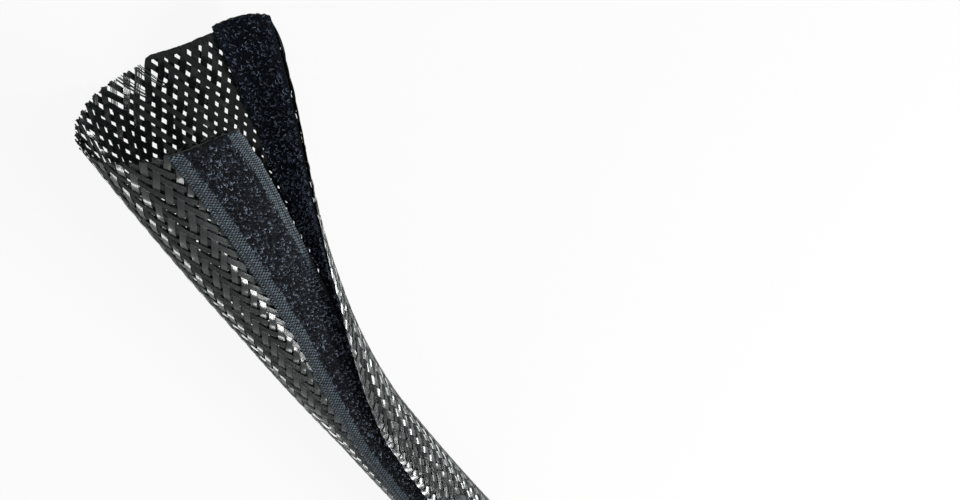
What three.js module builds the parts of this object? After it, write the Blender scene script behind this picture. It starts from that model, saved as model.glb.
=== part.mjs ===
// Split braided cable sleeve with a hook tape and a loop tape along its two long edges, open at its
// mouth. Millimetres, Z up. X runs from the mouth to the tail, Y toward the open side.
import * as THREE from "three";

// length of the sleeve, along X
const sleeve_length = 250;
// closed tail: mid-wall radius, and the length of strip beyond one bare turn of the tube
const tube_radius = 12.2;
const lap_length = 20.5;
// the lapped edge lies this much outside the layer under it, mid wall to mid wall: it climbs over one
// stretch of the strip and then runs level with the layer below
const lap_height = 4.3;
const lap_climb = 45;
const lap_level = 12;
// mouth: width of the strip measured round the braid, and how far along X the flare reaches
const mouth_strip_width = 136.4;
const flare_length = 160;
const flare_power = 1.015;
// mouth section: the front bows in very slightly, the fold is round, the back is flat, the flap rises
const front_bow_radius = 550;
const fold_radius = 22.4;
const fold_share = 0.682;
const flap_radius = 15.5;
const bend_softness = 4;
// where the strip's level line lies, as a share of its width, and its turn in the closed tail
const level_share = 0.671;
const tail_turn_deg = 37.6;
const tail_twist_deg_per_mm = 0.245;
const twist_start = 96;
// plan of the centre line: offset at the mouth, slope and bend
const mouth_offset = -12.4;
const centre_slope = -0.221;
const centre_bend = 2.97e-4;
// the mouth is cut square to the tapes, so it leans back where the braid stands up or spreads
const rim_lean_up = 0.13;
const rim_lean_side = 0.321;
// the braid sags flat where it lies on the floor
const floor_sag = 0.4;

// braid: wall at the ridges and in the dimples, crossings across and along, size of the open diamonds
const wall = 0.8;
const dimple_wall = 0.4;
const cells_across = 24;
const cells_along = 36;
const dimple_share = 0.6;
const gap_share = 0.58;
const open_length = 104;
const rim_scallop = 1.6;

// tapes: width, web, raised field, plain selvedges, inset from the braid's edge, gap to what is under it
const tape_width = 20;
const tape_web = 0.5;
const field_height = 0.6;
const edge_selvedge = 3.2;
const inner_selvedge = 4;
const hook_inset = 0.4;
const loop_inset = 1.5;
const clearance = 0.38;

// seams: thread radius, stitch length, how far each seam lies in from the tape's edge
const thread_radius = 0.22;
const stitch_length = 7;
const stitch_dip = 0.5;
const seam_inset = 1.5;

const strip_tail = 2 * Math.PI * tube_radius + lap_length;
const section_steps = 240;

function clamp01(v) {
  return Math.min(1, Math.max(0, v));
}

function smooth(v) {
  const u = clamp01(v);
  return u * u * (3 - 2 * u);
}

function soft_step(s, at) {
  return 1 / (1 + Math.exp((-2 * (s - at)) / bend_softness));
}

// how open the sleeve is at x: 1 at the mouth, 0 in the closed tail
function openness(x) {
  return Math.pow(clamp01(1 - x / flare_length), flare_power);
}

function strip_width(x) {
  return strip_tail + (mouth_strip_width - strip_tail) * openness(x);
}

// curvature of the strip at arc length s from its hook edge
function curvature(s, width, open) {
  const past_hook = soft_step(s, tape_width);
  const past_fold = soft_step(s, tape_width + fold_share * (width - 2 * tape_width));
  const past_back = soft_step(s, width - tape_width);
  const front = 1 - past_hook;
  const fold = past_hook * (1 - past_fold);
  const back = past_fold * (1 - past_back);
  const sum = front + fold + back + past_back;
  const mouth = (-front / front_bow_radius + fold / fold_radius + past_back / flap_radius) / sum;
  const climb = clamp01((s - (width - lap_level - lap_climb)) / lap_climb);
  const rising = climb > 0 && climb < 1;
  const swing = rising ? (lap_height * (6 - 12 * climb)) / (lap_climb * lap_climb) : 0;
  const tail = 1 / (tube_radius + lap_height * smooth(climb)) - swing;
  return tail * (1 - open) + mouth * open;
}

// the strip's section at x, as points in Y and Z at even arc lengths, lying on the floor
const sections = new Map();

function section(x) {
  const key = x.toFixed(5);
  if (sections.has(key)) {
    return sections.get(key);
  }
  const open = openness(x);
  const width = strip_width(x);
  const ds = width / section_steps;
  const turn = [0];
  let before = curvature(0, width, open);
  for (let n = 1; n <= section_steps; n += 1) {
    const here = curvature(n * ds, width, open);
    turn.push(turn[n - 1] + 0.5 * (before + here) * ds);
    before = here;
  }
  const level = sample(turn, level_share * section_steps);
  const twist = tail_twist_deg_per_mm * Math.max(0, x - twist_start);
  const tilt = (tail_turn_deg * (1 - open) + twist) * (Math.PI / 180);
  const y = [0];
  const z = [0];
  for (let n = 1; n <= section_steps; n += 1) {
    const a = 0.5 * (turn[n] + turn[n - 1]) - level + tilt;
    y.push(y[n - 1] + Math.cos(a) * ds);
    z.push(z[n - 1] + Math.sin(a) * ds);
  }
  const floor = Math.min(...z);
  const middle = 0.5 * (Math.min(...y) + sample(y, 0.72 * section_steps));
  const centre = mouth_offset + centre_slope * x + centre_bend * x * x;
  const out = {
    y: y.map((v) => v - middle + centre),
    z: z.map((v) => Math.max(v - floor, floor_sag) - floor_sag),
    width,
    open,
  };
  sections.set(key, out);
  return out;
}

function sample(list, at) {
  const n = Math.min(list.length - 2, Math.max(0, Math.floor(at)));
  return list[n] + (list[n + 1] - list[n]) * (at - n);
}

// point of the mid wall at x, arc length s
function middle_point(x, s) {
  const cut = section(x);
  const at = (s / cut.width) * section_steps;
  const y = sample(cut.y, at);
  const z = sample(cut.z, at);
  return new THREE.Vector3(x + (rim_lean_up * z + rim_lean_side * y) * cut.open, y, z);
}

// the same, moved out along the strip's normal
const probe = 0.4;

function surface_point(x, s, offset) {
  const here = middle_point(x, s);
  const along = middle_point(x + probe, s).sub(middle_point(x - probe, s));
  const across = middle_point(x, s + probe).sub(middle_point(x, s - probe));
  const normal = across.cross(along).normalize();
  return here.addScaledVector(normal, offset);
}

// closed mesh from indexed corners and faces
const parts = new THREE.Group();

function add_body(name, points, faces, color) {
  const flat = [];
  for (const p of points) {
    flat.push(p.x, p.y, p.z);
  }
  let volume = 0;
  for (const [a, b, c] of faces) {
    volume += points[a].dot(new THREE.Vector3().crossVectors(points[b], points[c]));
  }
  const index = [];
  for (const [a, b, c] of faces) {
    index.push(a, volume > 0 ? b : c, volume > 0 ? c : b);
  }
  const shape = new THREE.BufferGeometry();
  shape.setAttribute("position", new THREE.Float32BufferAttribute(flat, 3));
  shape.setIndex(index);
  shape.computeVertexNormals();
  const finish = new THREE.MeshStandardMaterial({ color, roughness: 0.7 });
  const mesh = new THREE.Mesh(shape, finish);
  mesh.name = name;
  parts.add(mesh);
}

// braided wall: diamonds between raised ridges, open ones in the flare and dimpled ones elsewhere
function braid() {
  const points = [];
  const faces = [];
  const known = new Map();

  function vertex(i, u, side, half) {
    const key = [i.toFixed(4), u.toFixed(5), side].join(" ");
    if (!known.has(key)) {
      const x = (i * sleeve_length) / cells_along;
      known.set(key, points.length);
      points.push(surface_point(x, u * strip_width(x), side * half));
    }
    return known.get(key);
  }

  function triangle(a, b, c, side) {
    faces.push(side > 0 ? [a, b, c] : [a, c, b]);
  }

  function corner(i, j, side) {
    return vertex(i, j / cells_across, side, wall / 2);
  }

  // closes the strip between the two faces along one edge of the wall
  function edge_wall(ends) {
    const [a, b] = ends;
    const out_a = corner(a[0], a[1], 1);
    const out_b = corner(b[0], b[1], 1);
    const in_a = corner(a[0], a[1], -1);
    const in_b = corner(b[0], b[1], -1);
    faces.push([out_b, out_a, in_a], [out_b, in_a, in_b]);
  }

  const scallop = (rim_scallop * cells_along) / sleeve_length;
  for (let i = 0; i <= cells_along; i += 1) {
    for (let j = 0; j <= cells_across; j += 1) {
      if ((i + j) % 2 === 0) {
        continue;
      }
      const north = i === 0 ? [scallop, j] : [i - 1, j];
      const south = i === cells_along ? [cells_along, j] : [i + 1, j];
      const west = [i, j - 1];
      const east = [i, j + 1];
      if (i === 0 || i === cells_along) {
        for (const side of [1, -1]) {
          const [n, s, w, e] = [north, south, west, east].map((c) => corner(c[0], c[1], side));
          triangle(n, e, s, side);
          triangle(n, s, w, side);
        }
        const outer = i === 0 ? [[west, north], [north, east]] : [[east, south], [south, west]];
        outer.forEach(edge_wall);
        continue;
      }
      if (j === 0 || j === cells_across) {
        const tip = j === 0 ? east : west;
        for (const side of [1, -1]) {
          const [n, s, t] = [north, south, tip].map((c) => corner(c[0], c[1], side));
          triangle(n, j === 0 ? t : s, j === 0 ? s : t, side);
        }
        edge_wall(j === 0 ? [south, north] : [north, south]);
        continue;
      }
      const x = (i * sleeve_length) / cells_along;
      const s_mid = (j / cells_across) * strip_width(x);
      const bare = s_mid > tape_width + 4 && s_mid < strip_width(x) - tape_width - 5;
      const open = bare && x < open_length;
      const share = open ? gap_share : dimple_share;
      const ring = [north, east, south, west];
      const inner = ring.map((c) => [i + share * (c[0] - i), (j + share * (c[1] - j)) / cells_across]);
      for (const side of [1, -1]) {
        const big = ring.map((c) => corner(c[0], c[1], side));
        const small = inner.map((c) => vertex(c[0], c[1], side, dimple_wall / 2));
        for (let n = 0; n < 4; n += 1) {
          const m = (n + 1) % 4;
          triangle(big[n], big[m], small[m], side);
          triangle(big[n], small[m], small[n], side);
        }
        if (!open) {
          triangle(small[0], small[1], small[2], side);
          triangle(small[0], small[2], small[3], side);
        }
      }
      if (open) {
        const high = inner.map((c) => vertex(c[0], c[1], 1, dimple_wall / 2));
        const low = inner.map((c) => vertex(c[0], c[1], -1, dimple_wall / 2));
        for (let n = 0; n < 4; n += 1) {
          const m = (n + 1) % 4;
          faces.push([high[n], high[m], low[m]], [high[n], low[m], low[n]]);
        }
      }
    }
  }
  add_body("braided_sleeve", points, faces, 0x16191b);
}

// sweep of a closed outline of [s, offset] pairs, one ring at each x
function sweep(name, stations, outline_at, color) {
  const points = [];
  const faces = [];
  let count = 0;
  stations.forEach((x, row) => {
    const outline = outline_at(x);
    count = outline.length;
    for (const [s, offset] of outline) {
      points.push(surface_point(x, s, offset));
    }
    if (row === 0) {
      return;
    }
    for (let n = 0; n < count; n += 1) {
      const m = (n + 1) % count;
      const a = (row - 1) * count;
      const b = row * count;
      faces.push([a + n, a + m, b + m], [a + n, b + m, b + n]);
    }
  });
  const last = (stations.length - 1) * count;
  for (const [n, m, o, p] of cap_strip(count)) {
    faces.push([n, o, m], [last + n, last + m, last + o]);
    if (p !== undefined) {
      faces.push([n, p, o], [last + n, last + o, last + p]);
    }
  }
  add_body(name, points, faces, color);
}

// joins the far and near sides of an outline whose halves run back over one another
function cap_strip(count) {
  const out = [];
  let low = 0;
  let high = count - 1;
  while (high - low > 2) {
    out.push([low, low + 1, high - 1, high]);
    low += 1;
    high -= 1;
  }
  if (high - low === 2) {
    out.push([low, low + 1, high]);
  }
  return out;
}

function even_stations(first, last, count) {
  return Array.from({ length: count + 1 }, (unused, n) => first + ((last - first) * n) / count);
}

// one tape: a flat web with a raised field between two plain selvedges
function tape(name, start_at, side, near_selvedge, far_selvedge, color) {
  const step = 0.25;
  const under = wall / 2 + clearance;
  const web = under + tape_web;
  const field = web + field_height;
  const rise = [near_selvedge, near_selvedge + step, tape_width - far_selvedge - step];
  const fall = tape_width - far_selvedge;
  const span = rise[2] - rise[1];
  const across = [0, near_selvedge / 2, rise[0], rise[1]];
  for (let n = 1; n < 5; n += 1) {
    across.push(rise[1] + (span * n) / 5);
  }
  across.push(rise[2], fall, (fall + tape_width) / 2, tape_width);
  const top = across.map((s) => (s >= rise[1] && s <= rise[2] ? field : web));
  sweep(
    name,
    even_stations(0, sleeve_length, cells_along),
    (x) => {
      const start = start_at(x);
      const lower = across.map((s) => [start + s, side * under]);
      const upper = across.map((s, n) => [start + s, side * top[n]]);
      return [...lower, ...upper.reverse()];
    },
    color,
  );
}

// one seam: a thread along a tape that dips between its stitches
function seam(name, at, side) {
  const stitches = Math.round((sleeve_length - 4) / stitch_length);
  const rest = wall / 2 + clearance + tape_web + clearance;
  const stations = even_stations(2, sleeve_length - 2, 2 * stitches);
  sweep(
    name,
    stations,
    (x) => {
      const row = Math.round(((x - 2) / (sleeve_length - 4)) * 2 * stitches);
      const r = row % 2 === 0 ? thread_radius * stitch_dip : thread_radius;
      const s = at(x);
      const outline = [[s - 1.3 * r, rest + r], [s, rest], [s + 1.3 * r, rest + r], [s, rest + 2 * r]];
      return outline.map(([a, b]) => [a, side * b]);
    },
    0x24282c,
  );
}

const hook_start = () => hook_inset;
const loop_start = (x) => strip_width(x) - loop_inset - tape_width;

braid();
tape("hook_tape", hook_start, 1, edge_selvedge, inner_selvedge, 0x1c2028);
tape("loop_tape", loop_start, -1, inner_selvedge, edge_selvedge, 0x11131a);
seam("hook_tape_outer_seam", (x) => hook_start(x) + seam_inset, 1);
seam("hook_tape_inner_seam", (x) => hook_start(x) + tape_width - seam_inset, 1);
seam("loop_tape_inner_seam", (x) => loop_start(x) + seam_inset, -1);
seam("loop_tape_outer_seam", (x) => loop_start(x) + tape_width - seam_inset, -1);

// rest on Z = 0, centred on the origin
parts.updateMatrixWorld(true);
const bounds = new THREE.Box3().setFromObject(parts, true);
const shift = new THREE.Vector3(
  -(bounds.min.x + bounds.max.x) / 2,
  -(bounds.min.y + bounds.max.y) / 2,
  -bounds.min.z,
);
for (const mesh of parts.children) {
  mesh.geometry.translate(shift.x, shift.y, shift.z);
}

export default parts;
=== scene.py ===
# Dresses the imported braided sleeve: braided bands, hook tape, loop tape, seams, cut ends, light and camera.
# Lengths are named in millimetres, as in the part's source, and go into Blender in metres.
import math

import bpy
import numpy as np
from mathutils import Matrix, Vector


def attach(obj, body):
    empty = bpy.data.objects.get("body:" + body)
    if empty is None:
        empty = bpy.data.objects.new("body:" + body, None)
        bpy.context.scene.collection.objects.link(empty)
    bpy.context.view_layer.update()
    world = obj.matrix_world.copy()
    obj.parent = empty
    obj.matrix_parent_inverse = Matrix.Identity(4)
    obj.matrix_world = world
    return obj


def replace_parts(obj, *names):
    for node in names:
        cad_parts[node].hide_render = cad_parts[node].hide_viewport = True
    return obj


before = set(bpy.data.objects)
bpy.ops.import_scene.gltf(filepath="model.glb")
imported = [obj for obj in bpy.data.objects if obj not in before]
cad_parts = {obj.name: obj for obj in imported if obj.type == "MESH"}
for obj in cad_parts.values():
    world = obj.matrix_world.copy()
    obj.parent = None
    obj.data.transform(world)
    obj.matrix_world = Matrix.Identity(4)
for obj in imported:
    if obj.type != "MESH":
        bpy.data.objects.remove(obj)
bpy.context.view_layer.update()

MM = 0.001
random = np.random.default_rng(20)

# the strip's surface, the same values as in the part's source
sleeve_length = 250.0
tube_radius = 12.2
lap_length = 20.5
lap_height = 4.3
lap_climb = 45.0
lap_level = 12.0
mouth_strip_width = 136.4
flare_length = 160.0
flare_power = 1.015
front_bow_radius = 550.0
fold_radius = 22.4
fold_share = 0.682
flap_radius = 15.5
bend_softness = 4.0
level_share = 0.671
tail_turn_deg = 37.6
tail_twist_deg_per_mm = 0.245
twist_start = 96.0
mouth_offset = -12.4
centre_slope = -0.221
centre_bend = 2.97e-4
rim_lean_up = 0.13
rim_lean_side = 0.321
floor_sag = 0.4
centre_share = 0.72
tape_width = 20.0
hook_inset = 0.4
loop_inset = 1.5
strip_tail = 2 * math.pi * tube_radius + lap_length
section_steps = 240
# the source centres its bounds on the origin, which moves every point by this
shift = np.array([-121.3693, 12.2603, 0.4])


def clamp01(v):
    return np.clip(v, 0.0, 1.0)


def smooth(v):
    u = clamp01(v)
    return u * u * (3 - 2 * u)


def soft_step(s, at):
    return 1 / (1 + np.exp(-2 * (s - at) / bend_softness))


def openness(x):
    return clamp01(1 - x / flare_length) ** flare_power


def strip_width(x):
    return strip_tail + (mouth_strip_width - strip_tail) * openness(x)


def curvature(s, width, opened):
    past_hook = soft_step(s, tape_width)
    past_fold = soft_step(s, tape_width + fold_share * (width - 2 * tape_width))
    past_back = soft_step(s, width - tape_width)
    front = 1 - past_hook
    fold = past_hook * (1 - past_fold)
    back = past_fold * (1 - past_back)
    total = front + fold + back + past_back
    mouth = (-front / front_bow_radius + fold / fold_radius + past_back / flap_radius) / total
    climb = clamp01((s - (width - lap_level - lap_climb)) / lap_climb)
    rising = (climb > 0) & (climb < 1)
    swing = np.where(rising, lap_height * (6 - 12 * climb) / lap_climb**2, 0.0)
    tail = 1 / (tube_radius + lap_height * smooth(climb)) - swing
    return tail * (1 - opened) + mouth * opened


def between(table, at):
    n = int(at)
    return table[:, n] + (table[:, n + 1] - table[:, n]) * (at - n)


def surface_table(x):
    """Mid points and outward normals of the strip, at each x and each step round the section."""
    opened = openness(x)[:, None]
    width = strip_width(x)[:, None]
    s = width * np.linspace(0, 1, section_steps + 1)
    ds = width / section_steps
    k = curvature(s, width, opened)
    start = np.zeros((len(x), 1))
    turn = np.concatenate([start, np.cumsum(0.5 * (k[:, 1:] + k[:, :-1]) * ds, axis=1)], axis=1)
    level = between(turn, level_share * section_steps)[:, None]
    twist = tail_twist_deg_per_mm * np.maximum(0, x - twist_start)[:, None]
    tilt = np.radians(tail_turn_deg * (1 - opened) + twist)
    a = 0.5 * (turn[:, 1:] + turn[:, :-1]) - level + tilt
    y = np.concatenate([start, np.cumsum(np.cos(a) * ds, axis=1)], axis=1)
    z = np.concatenate([start, np.cumsum(np.sin(a) * ds, axis=1)], axis=1)
    middle = 0.5 * (y.min(axis=1) + between(y, centre_share * section_steps))
    centre = mouth_offset + centre_slope * x + centre_bend * x**2
    y = y - middle[:, None] + centre[:, None]
    z = np.maximum(z - z.min(axis=1)[:, None], floor_sag) - floor_sag
    px = x[:, None] + (rim_lean_up * z + rim_lean_side * y) * opened
    points = np.stack([px, y, z], axis=-1)
    normals = np.cross(np.gradient(points, axis=1), np.gradient(points, axis=0))
    normals /= np.linalg.norm(normals, axis=-1, keepdims=True)
    return points, normals


# the tables reach past both ends of the sleeve, for what hangs over the cuts
table_step = 0.5
table_margin = 6.0
table_end = sleeve_length + table_margin + table_step
table_x = np.arange(-table_margin, table_end, table_step)
table_points, table_normals = surface_table(table_x)


def on_surface(x, s, offset):
    """Points in metres at x along the sleeve and s round the strip, offset outward along its normal."""
    x, s, offset = np.broadcast_arrays(np.asarray(x, float), s, offset)
    gx = (x - table_x[0]) / table_step
    gs = s / strip_width(x) * section_steps
    i = np.clip(np.floor(gx).astype(int), 0, len(table_x) - 2)
    j = np.clip(np.floor(gs).astype(int), 0, section_steps - 1)
    fi = (gx - i)[..., None]
    fj = (gs - j)[..., None]

    def mixed(table):
        low = table[i, j] * (1 - fj) + table[i, j + 1] * fj
        high = table[i + 1, j] * (1 - fj) + table[i + 1, j + 1] * fj
        return low * (1 - fi) + high * fi

    normal = mixed(table_normals)
    normal /= np.linalg.norm(normal, axis=-1, keepdims=True)
    return (mixed(table_points) + normal * offset[..., None] + shift) * MM


class Patches:
    """Collects grids of points into one mesh of quads, with UVs in millimetres."""

    def __init__(self):
        self.points = []
        self.quads = []
        self.uvs = []
        self.count = 0

    def add(self, grid, uv, closed=False):
        rows, columns = grid.shape[:2]
        across = columns if closed else columns - 1
        r, c = np.meshgrid(np.arange(rows - 1), np.arange(across), indexing="ij")
        d = (c + 1) % columns
        corners = [r * columns + c, r * columns + d, (r + 1) * columns + d, (r + 1) * columns + c]
        self.quads.append(np.stack([q.ravel() for q in corners], axis=-1) + self.count)
        self.points.append(grid.reshape(-1, 3))
        self.uvs.append(np.broadcast_to(uv, grid.shape[:2] + (2,)).reshape(-1, 2))
        self.count += rows * columns

    def build(self, name, material, sharp_columns=0):
        points = np.concatenate(self.points)
        quads = np.concatenate(self.quads)
        uvs = np.concatenate(self.uvs)
        mesh = bpy.data.meshes.new(name)
        mesh.vertices.add(len(points))
        mesh.vertices.foreach_set("co", points.astype(np.float32).ravel())
        mesh.loops.add(quads.size)
        mesh.loops.foreach_set("vertex_index", quads.astype(np.int32).ravel())
        mesh.polygons.add(len(quads))
        mesh.polygons.foreach_set("loop_start", np.arange(0, quads.size, 4, dtype=np.int32))
        mesh.polygons.foreach_set("use_smooth", np.ones(len(quads), bool))
        mesh.update(calc_edges=True)
        layer = mesh.uv_layers.new(name="UVMap")
        layer.data.foreach_set("uv", uvs[quads.ravel()].astype(np.float32).ravel())
        if sharp_columns:
            ends = np.zeros(2 * len(mesh.edges), np.int32)
            mesh.edges.foreach_get("vertices", ends)
            lengthwise = np.abs(ends[::2] - ends[1::2]) == sharp_columns
            sharp = mesh.attributes.new("sharp_edge", "BOOLEAN", "EDGE")
            sharp.data.foreach_set("value", lengthwise)
        mesh.validate()
        piece = bpy.data.objects.new(name, mesh)
        bpy.context.scene.collection.objects.link(piece)
        mesh.materials.append(material)
        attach(piece, "root")
        return piece


def add_tubes(store, paths, radius, sides):
    """Adds one tube per path. paths is (tubes, stations, 3) in metres, radius in millimetres."""
    paths = np.asarray(paths)
    tangent = np.gradient(paths, axis=1)
    tangent /= np.linalg.norm(tangent, axis=-1, keepdims=True) + 1e-12
    helper = np.cross(tangent, np.array([0.31, 0.52, 0.79]))
    first = helper / (np.linalg.norm(helper, axis=-1, keepdims=True) + 1e-12)
    second = np.cross(tangent, first)
    radius = np.broadcast_to(np.asarray(radius, float), paths.shape[:2]) * MM
    angle = np.arange(sides) / sides * 2 * math.pi
    ring = first[:, :, None] * np.cos(angle)[:, None] + second[:, :, None] * np.sin(angle)[:, None]
    grids = paths[:, :, None] + ring * radius[:, :, None, None]
    run = np.linspace(0, 1, paths.shape[1])
    uv = np.stack(np.broadcast_arrays(run[:, None], angle[None, :]), axis=-1)
    for grid in grids:
        store.add(grid, uv, closed=True)


# node materials
def new_material(name, roughness, specular):
    material = bpy.data.materials.new(name)
    material.use_nodes = True
    shader = material.node_tree.nodes["Principled BSDF"]
    shader.inputs["Roughness"].default_value = roughness
    shader.inputs["Specular IOR Level"].default_value = specular
    return material, material.node_tree, shader


def math_node(tree, operation, a, b=None, clamp=False):
    node = tree.nodes.new("ShaderNodeMath")
    node.operation = operation
    node.use_clamp = clamp
    for socket, value in zip(node.inputs, (a, b)):
        if value is None:
            continue
        if isinstance(value, (int, float)):
            socket.default_value = value
        else:
            tree.links.new(value, socket)
    return node.outputs[0]


def ramp_node(tree, factor, stops):
    node = tree.nodes.new("ShaderNodeValToRGB")
    while len(node.color_ramp.elements) < len(stops):
        node.color_ramp.elements.new(0.5)
    for element, (position, color) in zip(node.color_ramp.elements, stops):
        element.position = position
        element.color = (*color, 1.0)
    tree.links.new(factor, node.inputs["Fac"])
    return node.outputs["Color"]


def noise_node(tree, scale, detail, vector=None):
    node = tree.nodes.new("ShaderNodeTexNoise")
    node.inputs["Scale"].default_value = scale
    node.inputs["Detail"].default_value = detail
    if vector is None:
        vector = tree.nodes.new("ShaderNodeTexCoord").outputs["Object"]
    tree.links.new(vector, node.inputs["Vector"])
    return node.outputs["Fac"]


def uv_axes(tree):
    node = tree.nodes.new("ShaderNodeSeparateXYZ")
    tree.links.new(tree.nodes.new("ShaderNodeTexCoord").outputs["UV"], node.inputs[0])
    return node.outputs["X"], node.outputs["Y"]


def stretched_uv(tree, along, across):
    node = tree.nodes.new("ShaderNodeMapping")
    node.inputs["Scale"].default_value = (along, across, 1.0)
    tree.links.new(tree.nodes.new("ShaderNodeTexCoord").outputs["UV"], node.inputs["Vector"])
    return node.outputs["Vector"]


def bump_node(tree, shader, height, strength, distance):
    node = tree.nodes.new("ShaderNodeBump")
    node.inputs["Strength"].default_value = strength
    node.inputs["Distance"].default_value = distance
    tree.links.new(height, node.inputs["Height"])
    tree.links.new(node.outputs["Normal"], shader.inputs["Normal"])


def island_value(tree):
    return tree.nodes.new("ShaderNodeNewGeometry").outputs["Random Per Island"]


def band_material():
    material, tree, shader = new_material("braid_monofilament", 0.3, 0.15)
    shader.inputs["Specular Tint"].default_value = (0.75, 1.0, 0.96, 1.0)
    shader.inputs["Coat Weight"].default_value = 0.8
    shader.inputs["Coat Roughness"].default_value = 0.11
    shader.inputs["Coat IOR"].default_value = 1.6
    streaks = noise_node(tree, 1.0, 3.0, stretched_uv(tree, 0.25, 9.0))
    blotches = noise_node(tree, 90.0, 2.0)
    tone = math_node(tree, "ADD", math_node(tree, "MULTIPLY", island_value(tree), 0.4),
                     math_node(tree, "MULTIPLY", streaks, 0.6))
    color = ramp_node(tree, tone, [(0.25, (0.004, 0.005, 0.005)), (0.6, (0.009, 0.012, 0.012)),
                                   (0.85, (0.022, 0.028, 0.027))])
    tree.links.new(color, shader.inputs["Base Color"])
    rough = math_node(tree, "ADD", math_node(tree, "MULTIPLY", blotches, 0.16), 0.2)
    tree.links.new(rough, shader.inputs["Roughness"])
    bump_node(tree, shader, streaks, 0.35, 0.0001)
    return material


weft_pitch = 0.7
warp_pitch = 0.7
# share by which painted shade darkens the web under the hooks or loops
field_painted_shade = 0.5


def wave(tree, value, pitch):
    return math_node(tree, "SINE", math_node(tree, "MULTIPLY", value, 2 * math.pi / pitch))


def web_material(name, low, high, roughness, field=(4.0, 16.0)):
    """Woven tape: weft ribs and staggered dots, painted lighter on their raised tops as highlight, and darker
    across the field that hooks or loops cover as painted shade under them.
    """
    material, tree, shader = new_material(name, roughness, 0.12)
    shader.inputs["Sheen Weight"].default_value = 0.03
    shader.inputs["Sheen Roughness"].default_value = 0.5
    along, across = uv_axes(tree)
    ribs = wave(tree, along, weft_pitch)
    one = wave(tree, along, 2 * weft_pitch)
    other = wave(tree, across, 2 * warp_pitch)
    dots = math_node(tree, "MULTIPLY", one, other)
    height = math_node(tree, "ADD", math_node(tree, "MULTIPLY", ribs, 0.25),
                       math_node(tree, "MULTIPLY", dots, 0.75))
    # the tone follows the weave's height: painted highlight on the raised ribs and dots, painted shade
    # between them
    tone = math_node(tree, "ADD", math_node(tree, "MULTIPLY", height, 0.5), 0.5)
    grain = math_node(tree, "MULTIPLY", noise_node(tree, 700.0, 3.0), 0.3)
    tone = math_node(tree, "ADD", math_node(tree, "MULTIPLY", tone, 0.7), grain, clamp=True)
    # painted shade: the web is darker across the field, under the hooks or loops
    inside = math_node(tree, "MULTIPLY", math_node(tree, "GREATER_THAN", across, field[0]),
                       math_node(tree, "LESS_THAN", across, field[1]))
    shade = math_node(tree, "SUBTRACT", 1.0, math_node(tree, "MULTIPLY", inside, field_painted_shade))
    tone = math_node(tree, "MULTIPLY", tone, shade)
    tree.links.new(ramp_node(tree, tone, [(0.45, low), (0.6, high)]), shader.inputs["Base Color"])
    bump_node(tree, shader, height, 0.6, 0.00015)
    return material


def filament_material(name, low, high, roughness, power):
    """Fine hooks or loops: each one its own random tone, most of them dark, the pale ones painted glints."""
    material, tree, shader = new_material(name, roughness, 0.25)
    value = math_node(tree, "POWER", island_value(tree), power)
    tree.links.new(ramp_node(tree, value, [(0.0, low), (1.0, high)]), shader.inputs["Base Color"])
    grain = noise_node(tree, 900.0, 2.0)
    tree.links.new(math_node(tree, "ADD", math_node(tree, "MULTIPLY", grain, 0.2), roughness - 0.1),
                   shader.inputs["Roughness"])
    return material


def thread_material():
    material, tree, shader = new_material("sewing_thread", 0.6, 0.4)
    along, around = uv_axes(tree)
    twist = wave(tree, math_node(tree, "ADD", along, math_node(tree, "MULTIPLY", around, 0.02)), 0.05)
    color = ramp_node(tree, math_node(tree, "ADD", math_node(tree, "MULTIPLY", twist, 0.5), 0.5),
                      [(0.0, (0.008, 0.009, 0.011)), (1.0, (0.025, 0.027, 0.032))])
    tree.links.new(color, shader.inputs["Base Color"])
    bump_node(tree, shader, twist, 0.4, 0.0001)
    return material


def melt_material():
    material, tree, shader = new_material("heat_cut_edge", 0.25, 0.5)
    tone = noise_node(tree, 900.0, 4.0)
    color = ramp_node(tree, tone, [(0.3, (0.006, 0.008, 0.008)), (0.7, (0.03, 0.04, 0.037))])
    tree.links.new(color, shader.inputs["Base Color"])
    bump_node(tree, shader, tone, 0.7, 0.0004)
    return material


braid_finish = band_material()
# the hook web's pale high colour is painted highlight on its raised weave
hook_web_finish = web_material("hook_tape_web", (0.003, 0.004, 0.007), (0.14, 0.19, 0.225), 0.75,
                               (3.2, 16.0))
loop_web_finish = web_material("loop_tape_web", (0.008, 0.010, 0.017), (0.03, 0.038, 0.058), 0.85)
# the pale high colours of hooks and pile are painted glints
hook_painted_glint_finish = filament_material("hook_monofilament", (0.003, 0.005, 0.010), (0.62, 0.76, 0.95), 0.4, 5.0)
pile_painted_glint_finish = filament_material("loop_pile_yarn", (0.006, 0.009, 0.018), (0.55, 0.68, 0.95), 0.5, 3.5)
thread_finish = thread_material()
melt_finish = melt_material()
# the loosened strands' pale high colour is painted glint
loose_painted_glint_finish = filament_material("loose_monofilament", (0.012, 0.017, 0.016), (0.16, 0.20, 0.19),
                                 0.22, 1.5)

# braid: a two-over-two braid of flat bands, each of a few monofilaments side by side
bands_across = 40
axial_pitch_tail = 5.4
axial_pitch_mouth = 7.5
band_width_tail = 2.05
band_width_mouth = 1.95
filaments_per_band = 6
float_height = 0.25
ridge_height = 0.08
edge_turn = 0.75
edge_lift_share = 0.4
ragged_end_size = 0.12
station_step = 0.25
row_lag = 9.0
row_lag_start = 0.5
row_lag_reach = 0.35

phase_step = 0.25
phase_x = np.arange(-table_margin, table_end, phase_step)
axial_pitch = axial_pitch_tail + (axial_pitch_mouth - axial_pitch_tail) * openness(phase_x)
phase = np.concatenate([[0.0], np.cumsum(phase_step / (0.5 * (axial_pitch[1:] + axial_pitch[:-1])))])
phase -= np.interp(0.0, phase_x, phase)
phase_end = float(np.interp(sleeve_length, phase_x, phase))


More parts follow.
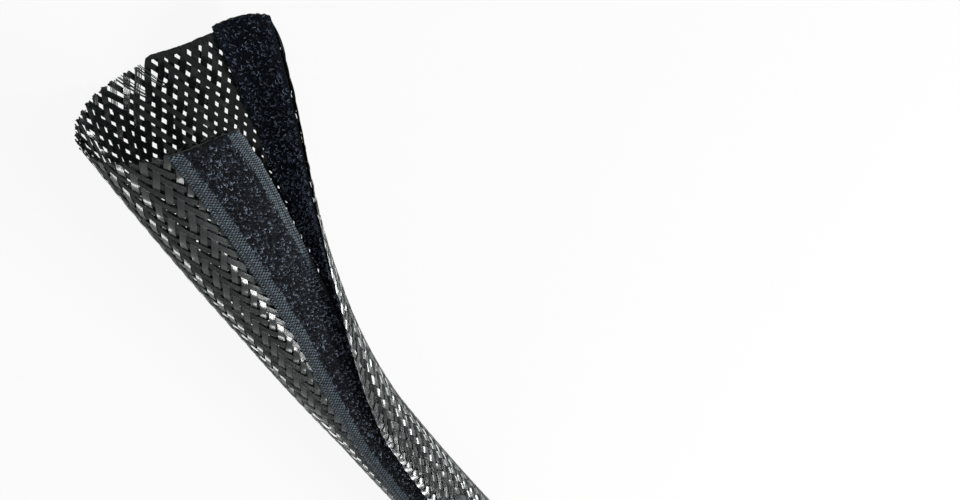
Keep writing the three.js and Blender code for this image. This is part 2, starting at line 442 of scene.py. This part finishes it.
def sleeve_x(turns, v):
    """x of a crossing. Near the mouth the loop tape holds the braid back, so the rows lag behind there."""
    x = np.interp(turns, phase, phase_x)
    return x + row_lag * smooth((v / bands_across - row_lag_start) / row_lag_reach) * openness(x) ** 2


def float_profile(t):
    """Height of one family of bands at crossing t, from 1 on top to -1 below; each float spans two."""
    return np.interp(np.mod(t, 4), [0, 0.5, 1, 1.5, 2, 2.5, 3, 3.5, 4], [1, 1.2, 1, 0, -1, -1.2, -1, 0, 1])


def wander(at, spacing, size):
    """Smooth random offset along a band."""
    knots = np.arange(at.min() - 2 * spacing, at.max() + 2 * spacing, spacing)
    return np.interp(at, knots, random.normal(0, size, len(knots)))


def band_grid(turns, v, height, ragged_start=False, ragged_end=False, spread=0.0):
    """One band along a path of phase and band number, as a ridged ribbon on the strip's surface."""
    x = sleeve_x(turns, v)
    s = v / bands_across * strip_width(x)
    opened = openness(x)
    along = np.stack([np.gradient(x), np.gradient(s)], axis=-1)
    along /= np.linalg.norm(along, axis=-1, keepdims=True)
    side = np.stack([-along[:, 1], along[:, 0]], axis=-1)
    width = band_width_tail + (band_width_mouth - band_width_tail) * opened
    width = width * (1 + wander(turns, 1.1, 0.05)) * (1 + spread)
    loose = wander(turns, 0.9, 1.0) * (0.04 + 0.14 * opened)
    points = 2 * filaments_per_band + 1
    a = np.linspace(-0.5, 0.5, points)[None, :] * width[:, None] + loose[:, None]
    ridge = np.where(np.arange(points) % 2 == 1, 0.6, -0.4) * ridge_height
    gx = x[:, None] + a * side[:, :1]
    gs = s[:, None] + a * side[:, 1:]
    for row, ragged in ((0, ragged_start), (-1, ragged_end)):
        if ragged:
            reach = random.normal(0, ragged_end_size, points) * (1 if row else -1)
            gx[row] += reach * along[row, 0]
            gs[row] += reach * along[row, 1]
    grid = on_surface(gx, gs, height[:, None] + ridge[None, :])
    run = np.concatenate([[0], np.cumsum(np.hypot(np.diff(x), np.diff(s)))])
    uv = np.stack(np.broadcast_arrays(run[:, None], a), axis=-1)
    return grid, uv


def stations(low, high):
    inside = np.arange(math.ceil(low / station_step + 0.3), math.floor(high / station_step - 0.3) + 1)
    return np.concatenate([[low], inside * station_step, [high]])


band_ends = []
# near the fold some bands have loosened into separate monofilaments at the mouth
loosened = Patches()
loose_first = 24.0
loose_last = 27.5
loose_reach = 1.25
loose_step = 0.125
loose_spread = 0.2
loose_scatter = 0.12
loose_radius = 0.15


def add_family(store, direction):
    reach = math.ceil(phase_end) + 2
    numbers = range(-reach, bands_across + 1) if direction > 0 else range(0, bands_across + reach + 1)
    for number in numbers:
        if direction > 0:
            low, high = edge_turn - number, bands_across - edge_turn - number
        else:
            low, high = number - bands_across + edge_turn, number - edge_turn
        fine = np.linspace(-2.5, phase_end, 1200)
        mouth = float(np.interp(0.0, sleeve_x(fine, number + direction * fine), fine))
        cut = low < mouth
        low, high = max(mouth, low), min(phase_end, high)
        if high - low < 0.4:
            continue
        at_rim = number + direction * mouth
        if cut and loose_first < at_rim < loose_last and number % 2 == (direction > 0):
            steps = int(loose_reach / loose_step) + 2
            turns = mouth + np.arange(steps) * loose_step
            v = number + direction * turns
            fade = loose_spread * clamp01((mouth + loose_reach - turns) / loose_reach)
            height = direction * float_height * float_profile(2 * v)
            grid, uv = band_grid(turns, v, height, True, False, fade)
            strands = grid[:, 1::2].transpose(1, 0, 2)
            strands = strands + random.normal(0, loose_scatter * MM, (len(strands), 1, 3))
            add_tubes(loosened, strands, loose_radius, 5)
            low = mouth + loose_reach
            cut = False
        turns = stations(low, high)
        v = number + direction * turns
        height = direction * float_height * float_profile(2 * v)
        grid, uv = band_grid(turns, v, height, cut, high == phase_end)
        store.add(grid, uv)
        if cut:
            band_ends.append(grid[0])
        if high == phase_end:
            band_ends.append(grid[-1])


def add_edge_turns(store):
    """Bands turn back at both long edges of the strip, from one family into the other."""
    lift = edge_lift_share * float_height * float_profile(2 * edge_turn)
    for number in range(0, math.floor(phase_end)):
        for far_edge in (False, True):
            # the first turn at the near edge starts at the cut end
            cut_short = number == 0 and not far_edge
            u = np.linspace(0.5 if cut_short else 0.0, 1.0, 7)
            turns = number - edge_turn + 2 * edge_turn * u
            bow = edge_turn * (1 - 2 * u * (1 - u))
            height = -lift * np.cos(math.pi * u)
            if far_edge:
                store.add(*band_grid(turns, bands_across - bow, -height))
            else:
                store.add(*band_grid(turns, bow, height))


one_way = Patches()
add_family(one_way, 1)
add_edge_turns(one_way)
other_way = Patches()
add_family(other_way, -1)
ridge_columns = 2 * filaments_per_band + 1
braid_pieces = [one_way.build("braid_bands_right", braid_finish, ridge_columns),
                other_way.build("braid_bands_left", braid_finish, ridge_columns)]
for piece in braid_pieces:
    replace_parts(piece, "braided_sleeve")


# the hot cut fuses the end of each band into a small bead
bead_scatter = 0.07
bead_radius = (0.13, 0.24)
beads = Patches()
for end in band_ends:
    path = end[::2]
    path = path + random.normal(0, bead_scatter * MM, path.shape)
    add_tubes(beads, path[None], random.uniform(*bead_radius, len(path))[None], 6)
loose_strands = loosened.build("loosened_monofilaments", loose_painted_glint_finish)
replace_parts(loose_strands, "braided_sleeve")
band_beads = beads.build("band_end_beads", melt_finish)
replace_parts(band_beads, "braided_sleeve")


# tapes
def loop_start(x):
    return strip_width(x) - loop_inset - tape_width


def hook_start(x):
    return hook_inset + 0.0 * x


tape_under = 0.8
tape_top = 1.26
rib_height = 0.05
selvedge_round = 0.6
selvedge_share = 0.35


def tape_piece(name, start_at, side, material):
    x = np.arange(0.0, sleeve_length + 0.01, weft_pitch / 2)
    across = np.linspace(0, tape_width, 27)
    rim = smooth(np.minimum(across, tape_width - across) / selvedge_round)
    rib = rib_height * np.sin(2 * math.pi * x / weft_pitch + math.pi / 2)
    crown = tape_under + (tape_top - tape_under) * (selvedge_share + (1 - selvedge_share) * rim)
    top = crown[None, :] + rib[:, None] * rim[None, :]
    bottom_s = np.linspace(tape_width - 0.1, 0.1, 14)
    bottom = np.full((len(x), len(bottom_s)), tape_under)
    ring_s = np.concatenate([across, bottom_s])
    ring = np.concatenate([top, bottom], axis=1)
    xs = np.concatenate([[x[0]], x, [x[-1]]])
    middle = np.full((1, len(ring_s)), 0.5 * (tape_under + tape_top))
    ring = np.concatenate([middle, ring, middle])
    wobble = wander(ring_s, 1.0, 0.12)
    gx = xs[:, None] + wobble[None, :] * (xs < 1.5)[:, None]
    s = start_at(xs)[:, None] + ring_s[None, :]
    store = Patches()
    uv = np.stack(np.broadcast_arrays(xs[:, None], ring_s[None, :]), axis=-1)
    store.add(on_surface(gx, s, side * ring), uv, closed=True)
    return store.build(name, material)


hook_web = tape_piece("hook_tape_web", hook_start, 1, hook_web_finish)
loop_web = tape_piece("loop_tape_web", loop_start, -1, loop_web_finish)
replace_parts(hook_web, "hook_tape")
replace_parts(loop_web, "loop_tape")


def curls(x, s, heading, shape, lift, side, length, root):
    """Small curls standing on a tape. shape is (stations, 2): reach along the heading, height."""
    reach = shape[None, :, 0] * length[:, None]
    rise = shape[None, :, 1] * lift[:, None]
    gx = x[:, None] + reach * np.cos(heading)[:, None]
    gs = s[:, None] + reach * np.sin(heading)[:, None]
    return on_surface(gx, gs, side * (root + rise))


def scattered(first, last, across_pitch, along_pitch, jitter):
    columns = np.arange(first, last, across_pitch)
    rows = np.arange(0.5, sleeve_length - 0.3, along_pitch)
    a, x = np.meshgrid(columns, rows)
    x = x + 0.5 * along_pitch * (np.arange(a.shape[1]) % 2)[None, :]
    a = a + random.normal(0, jitter, a.shape)
    x = np.clip(x + random.normal(0, jitter, x.shape), 0.2, sleeve_length - 0.2)
    return x.ravel(), a.ravel()


curl_root = tape_top - 0.1
hook_shape = np.array([(0, 0), (0.02, 0.5), (0.16, 0.86), (0.5, 1.0), (0.85, 0.84), (0.95, 0.6)])
hook_radius = 0.095
x, a = scattered(first=3.5, last=16.2, across_pitch=0.74, along_pitch=0.84, jitter=0.16)
count = len(x)
heading = np.where(random.random(count) < 0.5, 0.5, -0.5) * math.pi + random.normal(0, 0.6, count)
lift = random.uniform(0.8, 1.15, count)
length = random.uniform(0.45, 0.8, count)
hooks = Patches()
paths = curls(x, hook_start(x) + a, heading, hook_shape, lift, 1, length, curl_root)
add_tubes(hooks, paths, hook_radius, 3)
hook_field = hooks.build("hook_field", hook_painted_glint_finish)
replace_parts(hook_field, "hook_tape")

loop_shape = np.array([(0, 0), (0.1, 0.6), (0.42, 1.0), (0.8, 0.85), (1.0, 0.45), (0.9, 0.1)])
loop_radius = 0.12
x, a = scattered(first=0.7, last=19.4, across_pitch=0.86, along_pitch=0.95, jitter=0.3)
count = len(x)
heading = random.uniform(0, 2 * math.pi, count)
lift = random.uniform(0.45, 1.1, count)
length = random.uniform(0.5, 1.3, count)
pile = Patches()
paths = curls(x, loop_start(x) + a, heading, loop_shape, lift, -1, length, curl_root)
add_tubes(pile, paths, loop_radius, 3)
loop_pile = pile.build("loop_pile", pile_painted_glint_finish)
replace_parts(loop_pile, "loop_tape")

# seams: running lockstitch along both edges of both tapes
stitch_length = 3.0
thread_radius = 0.16
seam_inset = 1.5
seam_margin = 2
stations_per_stitch = 6
seams = [("hook_tape_outer_seam", hook_start, 1, seam_inset),
         ("hook_tape_inner_seam", hook_start, 1, tape_width - seam_inset),
         ("loop_tape_inner_seam", loop_start, -1, seam_inset),
         ("loop_tape_outer_seam", loop_start, -1, tape_width - seam_inset)]
for node, start_at, side, inset in seams:
    stitches = int((sleeve_length - 2 * seam_margin) / stitch_length)
    x = seam_margin + np.arange(stitches * stations_per_stitch + 1) * stitch_length / stations_per_stitch
    arch = np.abs(np.sin(math.pi * (x - seam_margin) / stitch_length)) ** 0.5
    path = on_surface(x, start_at(x) + inset, side * (tape_top - 0.12 + 0.26 * arch))
    store = Patches()
    add_tubes(store, path[None], thread_radius, 5)
    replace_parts(store.build(node + "_thread", thread_finish), node)

# heat-cut ends of the tapes, at the mouth and at the tail
cut_steps = 60
for name, start_at, side, node in (("hook_tape_cut_edge", hook_start, 1, "hook_tape"),
                                   ("loop_tape_cut_edge", loop_start, -1, "loop_tape")):
    a = np.linspace(0.1, tape_width - 0.1, cut_steps)
    store = Patches()
    for at in (0.0, sleeve_length):
        drop = wander(a, 0.8, 0.16)
        s = start_at(np.full(cut_steps, at)) + a
        path = on_surface(at + drop, s, side * (0.9 + wander(a, 1.2, 0.1)))
        radius = np.clip(0.3 + wander(a, 0.7, 0.08), 0.15, 0.5)
        add_tubes(store, path[None], radius[None], 7)
    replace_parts(store.build(name, melt_finish), node)


# floor, light and camera
floor_white_share = 0.9
seen_level = 1.0
lighting_level = 0.45
softbox_distance = 1.1


def floor_material():
    material = bpy.data.materials.new("studio_floor")
    material.use_nodes = True
    tree = material.node_tree
    tree.nodes.clear()
    lit = tree.nodes.new("ShaderNodeBsdfDiffuse")
    lit.inputs["Color"].default_value = (0.85, 0.85, 0.85, 1)
    white = tree.nodes.new("ShaderNodeEmission")
    white.inputs["Strength"].default_value = 1.0
    seen = tree.nodes.new("ShaderNodeLightPath").outputs["Is Camera Ray"]
    mix = tree.nodes.new("ShaderNodeMixShader")
    tree.links.new(math_node(tree, "MULTIPLY", seen, floor_white_share), mix.inputs["Fac"])
    tree.links.new(lit.outputs[0], mix.inputs[1])
    tree.links.new(white.outputs[0], mix.inputs[2])
    output = tree.nodes.new("ShaderNodeOutputMaterial")
    tree.links.new(mix.outputs[0], output.inputs["Surface"])
    return material


bpy.ops.mesh.primitive_plane_add(size=6.0, location=(0, 0, 0))
floor = bpy.context.object
floor.name = "studio_floor"
floor.data.materials.append(floor_material())

world = bpy.data.worlds.new("studio_world")
bpy.context.scene.world = world
world.use_nodes = True
tree = world.node_tree
background = tree.nodes["Background"]
background.inputs["Color"].default_value = (1, 1, 1, 1)
seen = tree.nodes.new("ShaderNodeLightPath").outputs["Is Camera Ray"]
extra = math_node(tree, "MULTIPLY", seen, seen_level - lighting_level)
level = math_node(tree, "ADD", extra, lighting_level)
tree.links.new(level, background.inputs["Strength"])


def softbox(name, direction, size, watts):
    light = bpy.data.lights.new(name, "AREA")
    light.shape = "RECTANGLE"
    light.size, light.size_y = size
    light.energy = watts
    lamp = bpy.data.objects.new(name, light)
    bpy.context.scene.collection.objects.link(lamp)
    away = Vector(direction).normalized()
    lamp.location = away * softbox_distance
    lamp.rotation_euler = away.to_track_quat("Z", "Y").to_euler()


softbox("right_strip_low", (0.78, 0.55, 0.22), (0.7, 0.1), 3)
softbox("right_strip_high", (0.81, 0.33, 0.46), (0.6, 0.12), 9)
softbox("left_strip", (0.6, -0.78, 0.12), (0.6, 0.12), 3)

# the photograph's view: the axes of the picture in the part's frame, and the eye
view_right = (0.51746, 0.70564, 0.48405)
view_down = (0.53398, -0.7083, 0.46172)
view_forward = (0.66866, 0.01955, -0.74331)
eye = (np.array([-222.341, 22.541, 415.338]) + shift) * MM
image_width_px = 960
focal_px = 1500
camera = bpy.data.cameras.new("photo_camera")
camera.sensor_width = 36.0
camera.lens = camera.sensor_width * focal_px / image_width_px
camera.clip_start = 0.01
rig = bpy.data.objects.new("photo_camera", camera)
bpy.context.scene.collection.objects.link(rig)
axes = [view_right, [-v for v in view_down], [-v for v in view_forward], list(eye)]
rig.matrix_world = Matrix([[axes[c][r] for c in range(4)] for r in range(3)] + [[0, 0, 0, 1]])
bpy.context.scene.camera = rig

bpy.context.scene.view_settings.view_transform = "Standard"
